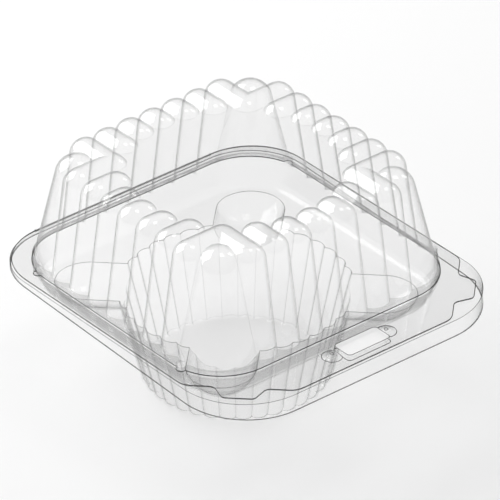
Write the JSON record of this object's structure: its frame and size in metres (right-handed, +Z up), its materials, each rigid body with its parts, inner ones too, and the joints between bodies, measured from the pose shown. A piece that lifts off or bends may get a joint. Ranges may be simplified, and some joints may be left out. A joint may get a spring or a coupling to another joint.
{
  "type": "plastic clamshell pack",
  "caption": "Clear thermoformed clamshell pack for a large muffin, with a fluted square dome lid hinged to a base with a round fluted cup, finger pockets, lift tabs and a front latch.",
  "frame": {"origin": "middle of the cup's flat floor, on the table the pack stands on", "axes": "+Z up, -Y towards the latch and lift tabs, +Y towards the hinge, X along the hinge"},
  "size_m": [0.1156, 0.1278, 0.0788],
  "materials": {
    "clear_base": "clear gloss",
    "clear_lid": "clear gloss"
  },
  "bodies": {
    "base": {"base_tray": "clear_base"},
    "lid": {"lid_dome": "clear_lid"}
  },
  "joints": [
    {"name": "lid_hinge", "type": "hinge", "parent": "base", "child": "lid", "pos_m": [0, 0.0577, 0.03963], "axis": [-1, 0, 0], "range_deg": [0, 180]}
  ]
}
